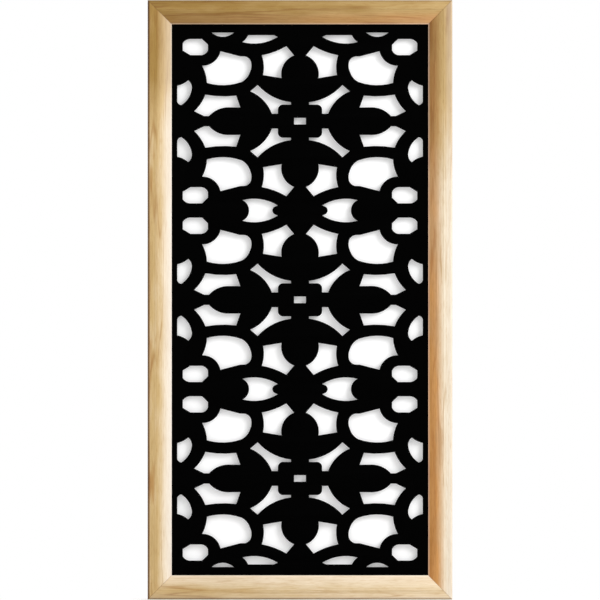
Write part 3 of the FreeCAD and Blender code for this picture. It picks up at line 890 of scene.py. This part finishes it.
# %% [markdown]
# A grain is made by reading noise in a space that is squeezed along the board, so that every spot
# of it becomes a streak. Pine shows many kinds of streak at once, from slow clouds of colour to
# fibres finer than a millimetre. Each has its own size, and its own stretch, which says how many
# times longer than wide it is.

# %% Noise drawn out into streaks
GRAIN_LONG = 30.0
VEIN_LONG = 18.0
STREAKS = {
    # kind: shift of the seed, size across the grain, stretch along it, detail
    "cloud": (2.0, 24.0 * MM, 3.0, 2.0),
    "band": (0.0, 7.0 * MM, GRAIN_LONG, 3.0),
    "sway": (0.0, 110.0 * MM, GRAIN_LONG, 2.0),
    "ragged_ring": (0.0, 14.0 * MM, GRAIN_LONG, 2.0),
    "vein": (5.0, 22.0 * MM, VEIN_LONG, 1.5),
    "vein_break": (7.0, 16.0 * MM, VEIN_LONG / 2, 2.0),
    "flame": (9.0, 11.0 * MM, 9.0, 3.0),
    "fleck": (4.0, 2.4 * MM, 7.0, 3.0),
    "fibre": (0.0, 0.9 * MM, GRAIN_LONG, 4.0),
}


def streaks(wood, turn, seed, kind):
    """Noise from 0 to 1, drawn out along the board."""
    shift, size, stretch, detail = STREAKS[kind]
    seed = seed + shift
    return wood.noise(wood.place(turn, (1.0, 1.0, 1 / stretch), (seed, seed, seed)), size, detail)


print("kinds of streak:", ", ".join(STREAKS))

# %% [markdown]
# A moulding is planed from a board, so its face cuts through the tree. Year rings run along it as
# pale wood that darkens slowly up to a sharp edge. They are distances from the middle of the tree,
# which lies well outside the rail. Veins are thin brown lines where a ring lies flat in the face,
# and the level lines of a slow noise wander in the same way.

# %% Draw year rings and veins
RING_GAP = 3.6 * MM
HEART_AWAY = 120.0 * MM
RING_SWAY_ACROSS = 30.0 * MM
RING_SWAY_DEEP = 20.0 * MM
RAGGED_RING = 0.8
LATE_START = 0.30
LATE_END = 0.90
VEIN_COUNT = 3.0
VEIN_HALF = 0.11
VEIN_BREAK = (0.42, 0.62)


def year_rings(wood, turn, seed, out, deep):
    """Late wood: 0 where a year begins and 1 just before it ends."""
    sway = streaks(wood, turn, seed, "sway") - 0.5
    ring_x = out * RAIL_FACE + HEART_AWAY + RING_SWAY_ACROSS * sway
    ring_y = deep - HEART_AWAY + RING_SWAY_DEEP * sway
    rings = (ring_x * ring_x + ring_y * ring_y).root() * (1 / RING_GAP)
    year = (rings + RAGGED_RING * streaks(wood, turn, seed, "ragged_ring")).fraction()
    return year.rise(LATE_START, LATE_END) * (1 - year.rise(LATE_END, 1.0))


def vein_lines(wood, turn, seed):
    """Thin wandering lines that come and go."""
    slow = streaks(wood, turn, seed, "vein") * VEIN_COUNT
    line = 1 - (slow.fraction() - 0.5).size().rise(0.0, VEIN_HALF)
    return line * streaks(wood, turn, seed, "vein_break").rise(*VEIN_BREAK)


print("year rings every %.1f mm" % (RING_GAP / MM))

# %% [markdown]
# Now the colour. A tone runs from heartwood to sapwood, and each board has its own tones at its
# sight edge and its outer edge, and at both ends. Across a board the tones are partly the wood's
# and partly painted light and shade: paler where the moulding faces the lamp at the upper right,
# darker where it faces away. The top of the frame is darker than its foot, and the stiles darken
# towards their tops. A board may also have an amber side, which is painted shade on the faces
# turned from the lamp, flames of darker heartwood, and painted shade on the outer corner where it
# faces away from the lamp, and the glue shows as a hairline in the mitres. The side faces get
# painted shade too, where the lamp lights them strongly. Each of these tints multiplies the colour
# below it, so the grain stays visible. At the sight edge and on the outer band, cream is mixed in
# as a painted highlight. The beads come from a board of their own, so that they show as separate
# strips at the back.

# %% The colours of pine, and the boards
HEARTWOOD = (0.37, 0.22, 0.050)
HONEY = (0.62, 0.44, 0.200)
SAPWOOD = (0.90, 0.79, 0.620)
HIGHLIGHT_CREAM = (0.86, 0.80, 0.76)
SHADE_AMBER_TINT = (0.96, 0.57, 0.25)
LATE_TINT = (0.84, 0.74, 0.58)
VEIN_TINT = (0.72, 0.58, 0.42)
FLAME_TINT = (0.76, 0.58, 0.38)
FLECK_TINT = (0.84, 0.74, 0.60)
FIBRE_TINT = (0.86, 0.80, 0.70)
CORNER_SHADE_TINT = (0.25, 0.17, 0.11)
SIDE_SHADE_TINT = (0.88, 0.83, 0.76)
GLUE_TINT = (0.55, 0.46, 0.36)
PLAIN_BOARD = {
    # pairs are at the foot or the left end, and at the top or the right end
    "inner": (0.80, 0.86),
    "outer": (0.80, 0.86),
    # painted shade: an amber tint on the faces turned away from the lamp
    "shade_amber": (0.0, 0.0),
    # how much the tone drops, and the shares of the length where that starts and ends
    "fade": (0.0, 0.0, 1.0),
    # flames lie on the outer side of the board at 1, and on its inner side at -1
    "flame": 0.0,
    "flame_side": 1.0,
    # painted shade on the outer corner, and a painted cream highlight on the land, the sight edge
    # and the outer band
    "corner_shade": 0.0,
    "land": 0.0,
    "cream_highlight": (0.0, 0.0),
    "seed": 53.0,
}
# the tones across each board are partly the wood's and partly painted light and shade
BOARDS = {
    "left": {
        "inner": (1.08, 0.78), "outer": (0.45, 0.49), "fade": (0.50, 0.77, 0.90),
        "flame": 0.9, "corner_shade": 1.0, "land": 0.25, "cream_highlight": (0.42, 0.0), "seed": 3.0},
    "right": {
        "inner": (0.58, 0.88), "outer": (0.98, 0.94), "fade": (0.66, 0.63, 0.90),
        "shade_amber": (1.40, 0.45), "flame": 0.7, "flame_side": -1.0, "land": 0.25,
        "cream_highlight": (0.0, 0.20), "seed": 11.0},
    "top": {
        "inner": (-0.02, 0.72), "outer": (-0.02, 0.26), "shade_amber": (0.20, 0.75),
        "flame": 0.3, "corner_shade": 0.35, "land": 0.20, "seed": 23.0},
    "bottom": {
        "inner": (0.88, 0.98), "outer": (0.40, 0.72), "shade_amber": (0.10, 0.06),
        "flame": 0.2, "corner_shade": 0.6, "land": 0.25, "cream_highlight": (0.0, 0.10), "seed": 37.0},
}
print("boards:", ", ".join(BOARDS), "and a plain one for the beads")

# %% [markdown]
# One function mixes all this into a material. A rise takes two places or levels: below the first
# the mask is 0, above the second it is 1. Places out across the board run from -0.5 at the sight
# edge to 0.5 at the outer edge.

# %% The pine finish
TONE_RISE = (-0.46, 0.22)
CLOUD_TONE = 0.40
BAND_TONE = 0.30
HONEY_STOP = 0.45
SHADE_AMBER_START = -0.32
SHADE_AMBER_REACH = 0.2
SHADE_AMBER_LEAST = 0.6
SHADE_AMBER_CLOUD = 0.8
FLAME_RISE = (0.52, 0.72)
FLAME_SIDE_RISE = (-0.10, 0.35)
FLECK_RISE = (0.50, 0.68)
FIBRE_RISE = (0.40, 0.75)
SIDE_SHADE_RISE = (0.485, 0.5)
NEAR_HIGHLIGHT_RISE = (-0.42, -0.08)
FAR_HIGHLIGHT_RISE = (0.10, 0.40)
LAND_BLUR = 0.2
LATE_SHARE = 0.35
VEIN_SHARE = 0.8
FLECK_SHARE = 0.45
FIBRE_SHARE = 0.70
CORNER_SHADE_START = 6.0 * MM
CORNER_SHADE_END = 1.5 * MM
GLUE_WIDE = 1.0 * MM
GRAIN_DEEP = 0.08 * MM


def mitre_distance(wood):
    """How far a point is from the nearest mitre, across the grain."""
    x, _, z = wood.parts(wood.place((0.0, 0.0, 0.0), (1.0, 1.0, 1.0), (0.0, 0.0, 0.0)))
    return ((HALF_WIDE - x.size()) - (TALL / 2 - (z - TALL / 2).size())).size()


def pine(name, side, board):
    """Pine for the rail or the bead of one side, in the tones of its board."""
    wood = Finish(name)
    seed = board["seed"]
    turn, out, deep, share = board_place(wood, side)
    inner, outer, shade_amber = [
        board[key][0] + (board[key][1] - board[key][0]) * share
        for key in ("inner", "outer", "shade_amber")]
    cloud = streaks(wood, turn, seed, "cloud")
    # the tone across the board carries painted light and shade as well as the wood's own tone
    tone = inner + (outer - inner) * out.rise(*TONE_RISE) + CLOUD_TONE * (cloud - 0.5)
    tone = tone + BAND_TONE * (streaks(wood, turn, seed, "band") - 0.5)
    fade, fade_start, fade_end = board["fade"]
    faded = fade * share.rise(fade_start, fade_end)
    colour = wood.ramp(tone - faded, [(0.0, HEARTWOOD), (HONEY_STOP, HONEY), (1.0, SAPWOOD)])
    late = year_rings(wood, turn, seed, out, deep)
    fibre = streaks(wood, turn, seed, "fibre")
    flames = streaks(wood, turn, seed, "flame").rise(*FLAME_RISE)
    flame_side = (out * board["flame_side"]).rise(*FLAME_SIDE_RISE)
    flecks = streaks(wood, turn, seed, "fleck").rise(*FLECK_RISE)
    # painted shade on the outer corner, where it faces away from the lamp
    corner = out.rise(0.5 - CORNER_SHADE_START / RAIL_FACE, 0.5 - CORNER_SHADE_END / RAIL_FACE)
    front = 1 - deep.rise(LOW.y + CORNER_SHADE_START, LOW.y + 2 * CORNER_SHADE_START)
    glue = 1 - mitre_distance(wood).rise(0.0, GLUE_WIDE)
    # painted shade: the amber side is the side turned away from the lamp
    shade_amber_side = 1 - out.rise(SHADE_AMBER_START, SHADE_AMBER_REACH * shade_amber)
    for factor, tint in (
            (shade_amber * (SHADE_AMBER_LEAST + SHADE_AMBER_CLOUD * cloud) * shade_amber_side, SHADE_AMBER_TINT),
            (LATE_SHARE * late, LATE_TINT),
            (VEIN_SHARE * vein_lines(wood, turn, seed), VEIN_TINT),
            (board["flame"] * flames * flame_side, FLAME_TINT),
            (FLECK_SHARE * flecks, FLECK_TINT),
            (FIBRE_SHARE * fibre.rise(*FIBRE_RISE), FIBRE_TINT),
            (board["corner_shade"] * corner * front, CORNER_SHADE_TINT),
            # painted shade on the side faces, which the lamp lights strongly
            (out.rise(*SIDE_SHADE_RISE), SIDE_SHADE_TINT),
            (glue, GLUE_TINT)):
        colour = wood.blend(factor, colour, tint, "MULTIPLY")
    # painted highlight: cream on the sight land, and near the sight edge or on the outer band
    land_edge = SIGHT_LAND / RAIL_FACE - 0.5
    land_blur = LAND_BLUR * SIGHT_LAND / RAIL_FACE
    land = 1 - out.rise(land_edge - land_blur, land_edge + land_blur)
    near, far = board["cream_highlight"]
    cream_highlight = near * (1 - faded) * (1 - out.rise(*NEAR_HIGHLIGHT_RISE)) + far * out.rise(*FAR_HIGHLIGHT_RISE)
    return wood.close({
        "Base Color": wood.blend(cream_highlight + board["land"] * land, colour, HIGHLIGHT_CREAM),
        "Roughness": 0.52 - 0.08 * late + 0.12 * (fibre - 0.5),
        "Normal": wood.ripple(0.6 * fibre + 0.4 * late, GRAIN_DEEP),
        "Specular IOR Level": 0.25,
        "Coat Weight": 0.25,
        "Coat Roughness": 0.35,
    })


for side, board in BOARDS.items():
    dress(rails[side], pine("pine_" + side, side, PLAIN_BOARD | board))
    dress(beads[side], pine("bead_pine_" + side, side, PLAIN_BOARD))
print("pine finishes:", sum("pine" in material.name for material in bpy.data.materials))

# %% [markdown]
# The fretwork is black all over. A real one is a board or a plastic sheet with a satin black
# coating, which shows only in its sheen: fine orange peel, and patches that are a little glossier.
# So the colour hardly changes, and the roughness and the bump do the work.

# %% The black finish
SHEET_BLACK = (0.0004, 0.0004, 0.0004)
SHEET_WORN = (0.004, 0.004, 0.004)
PEEL_SIZE = 1.6 * MM
PEEL_DEEP = 0.05 * MM
GLOSS_SIZE = 60.0 * MM
DUST_SIZE = 0.5 * MM
DUST_RISE = (0.68, 0.80)


def satin_black():
    """A satin coating with fine orange peel and a little dust."""
    coat = Finish("satin_black")
    spot = coat.place((0.0, 0.0, 0.0), (1.0, 1.0, 1.0), (0.0, 0.0, 0.0))
    peel = coat.noise(spot, PEEL_SIZE, 2.0)
    gloss = coat.noise(spot, GLOSS_SIZE, 3.0)
    dust = coat.noise(spot, DUST_SIZE, 1.0).rise(*DUST_RISE)
    return coat.close({
        "Base Color": coat.blend(0.5 * dust, SHEET_BLACK, SHEET_WORN),
        "Roughness": 0.36 + 0.14 * gloss + 0.10 * peel,
        "Normal": coat.ripple(peel, PEEL_DEEP),
        "Specular IOR Level": 0.008,
    })


dress(panel, satin_black())
print("sheet finish:", panel.data.materials[0].name)

# %% [markdown]
# Everything metal in the frame is zinc-plated steel: bright, a little blue, and clouded by
# handling. Small hardware like this needs only a metal shader whose roughness and tint vary, and
# very fine scratches. The brads and wedge nails keep their CAD solids, which are already the right
# shape.

# %% The zinc finish
ZINC_BRIGHT = (0.66, 0.67, 0.68)
ZINC_DULL = (0.46, 0.45, 0.42)
HANDLED_SIZE = 5.0 * MM
HANDLED_RISE = (0.35, 0.75)
SCRATCH_SIZE = 0.25 * MM
SCRATCH_LONG = 0.06
SCRATCH_DEEP = 0.01 * MM


def zinc():
    """Zinc plating with dull clouds and fine upright scratches."""
    metal = Finish("zinc_plating")
    spot = metal.place((0.0, 0.0, 0.0), (1.0, 1.0, 1.0), (0.0, 0.0, 0.0))
    drawn = metal.place((0.0, 0.0, 0.0), (1.0, 1.0, SCRATCH_LONG), (0.0, 0.0, 0.0))
    cloud = metal.noise(spot, HANDLED_SIZE, 4.0)
    scratch = metal.noise(drawn, SCRATCH_SIZE, 2.0)
    return metal.close({
        "Base Color": metal.blend(cloud.rise(*HANDLED_RISE), ZINC_BRIGHT, ZINC_DULL),
        "Metallic": 1.0,
        "Roughness": 0.28 + 0.22 * cloud + 0.08 * scratch,
        "Normal": metal.ripple(scratch, SCRATCH_DEEP),
    })


plating = zinc()
for piece in [*plates.values(), screws]:
    dress(piece, plating)
kept = [node for name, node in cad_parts.items() if "brads" in name or "nails" in name]
for node in kept:
    for slot in node.material_slots:
        slot.material = plating
print("kept CAD pieces:", len(kept))

# %% [markdown]
# The stage is a pale floor that the module stands on, and a white card close behind the fretwork,
# between the beads. The card shows only to the camera, and only from the front, so that the
# openings look white with a soft shadow at their edges, while the back stays clear to see.

# %% Floor and card
FLOOR_HALF = 1.6
FLOOR_BACK = 0.018
FLOOR_WHITE = (0.90, 0.90, 0.90)
FLOOR_GLOW = 0.12
CARD_GAP = 4.5 * MM
CARD_INSET = 0.5 * MM
CARD_WHITE = (0.88, 0.88, 0.88)
CARD_GLOW = 0.25


def stage_plane(name, corners):
    """A flat piece of the stage, which isn't part of the object."""
    bm = bmesh.new()
    bm.faces.new([bm.verts.new(corner) for corner in corners])
    plane = bpy.data.objects.new(name, mesh_of(bm, name))
    bpy.context.scene.collection.objects.link(plane)
    return plane


def stage_white(name, colour, glow, card):
    """A matt white that glows a little for the camera, and a card that only the camera sees."""
    paint = Finish(name)
    path = paint.add("ShaderNodeLightPath", {}, {})
    seen = Signal(paint, path.outputs["Is Camera Ray"])
    matt = paint.add("ShaderNodeBsdfDiffuse", {}, {"Color": (*colour, 1.0)}).outputs[0]
    light = paint.add("ShaderNodeEmission", {}, {"Strength": seen * glow}).outputs[0]
    shader = paint.add("ShaderNodeAddShader", {}, {0: matt, 1: light}).outputs[0]
    if card:
        behind = Signal(paint, paint.add("ShaderNodeNewGeometry", {}, {}).outputs["Backfacing"])
        clear = paint.add("ShaderNodeBsdfTransparent", {}, {}).outputs[0]
        mix = {0: seen * (1 - behind), 1: clear, 2: shader}
        shader = paint.add("ShaderNodeMixShader", {}, mix).outputs[0]
    paint.add("ShaderNodeOutputMaterial", {}, {"Surface": shader})
    return paint.material


floor = stage_plane("floor", [
    (-FLOOR_HALF, -FLOOR_HALF, 0), (FLOOR_HALF, -FLOOR_HALF, 0),
    (FLOOR_HALF, FLOOR_BACK, 0), (-FLOOR_HALF, FLOOR_BACK, 0)])
dress(floor, stage_white("pale_floor", FLOOR_WHITE, FLOOR_GLOW, False))
margin = RAIL_FACE + CARD_INSET
card_x, card_low, card_high = HALF_WIDE - margin, margin, TALL - margin
card_y = SHEET_HIGH.y + CARD_GAP
card = stage_plane("white_card", [
    (-card_x, card_y, card_low), (card_x, card_y, card_low),
    (card_x, card_y, card_high), (-card_x, card_y, card_high)])
dress(card, stage_white("white_card", CARD_WHITE, CARD_GLOW, True))
print("card stands %.1f mm behind the sheet" % (CARD_GAP / MM))

# %% [markdown]
# A soft lamp at the upper right and in front models the moulding, as in the photograph: slopes that
# face it shine, those that face away go deep honey. The world adds an even grey light, and looks
# white to the camera and in reflections. A weaker lamp from behind keeps the back readable.

# %% Light and camera
# The pine's tones add painted highlight and shade on top of what this lamp does.
AMBIENT = 0.62
KEY_TO = Vector((0.66, -0.55, 0.50)).normalized()
KEY_AWAY = 5.0
KEY_SIZE = 2.4
KEY_POWER = 175.0
BACK_TO = Vector((-0.55, 0.70, 0.45)).normalized()
BACK_POWER = 80.0
CAMERA_LENS = 500.0
CAMERA_AWAY = 16.68
CAMERA_RISE = 0.5996


def soft_lamp(name, way, power):
    """A square soft lamp that looks at the middle of the module."""
    lamp = bpy.data.lights.new(name, "AREA")
    lamp.size = KEY_SIZE
    lamp.energy = power
    holder = bpy.data.objects.new(name, lamp)
    holder.location = MIDDLE + way * KEY_AWAY
    holder.visible_camera = False
    holder.rotation_euler = way.to_track_quat("Z", "Y").to_euler()
    bpy.context.scene.collection.objects.link(holder)


soft_lamp("key", KEY_TO, KEY_POWER)
soft_lamp("back", BACK_TO, BACK_POWER)

world = bpy.data.worlds.new("studio")
bpy.context.scene.world = world
world.use_nodes = True
sky = Nodes(world.node_tree)
ray = sky.add("ShaderNodeLightPath", {}, {}).outputs
seen = Signal(sky, ray["Is Camera Ray"])
for kind in ("Is Transmission Ray", "Is Glossy Ray"):
    seen = seen.larger(ray[kind])
glow = sky.add("ShaderNodeBackground", {}, {
    "Color": (1.0, 1.0, 1.0, 1.0), "Strength": AMBIENT + (1 - AMBIENT) * seen})
sky.add("ShaderNodeOutputWorld", {}, {"Surface": glow.outputs["Background"]})

camera = bpy.data.cameras.new("camera")
camera.lens = CAMERA_LENS
eye = bpy.data.objects.new("camera", camera)
eye.location = Vector((0, LOW.y - CAMERA_AWAY, CAMERA_RISE))
eye.rotation_euler = (math.radians(90.0), 0, 0)
bpy.context.scene.collection.objects.link(eye)
bpy.context.scene.camera = eye
bpy.context.scene.view_settings.view_transform = "Standard"
print("camera %.2f m in front, %.0f mm lens" % (CAMERA_AWAY, CAMERA_LENS))

# %% [markdown] The looks take the frame's main sizes from the CAD solids.
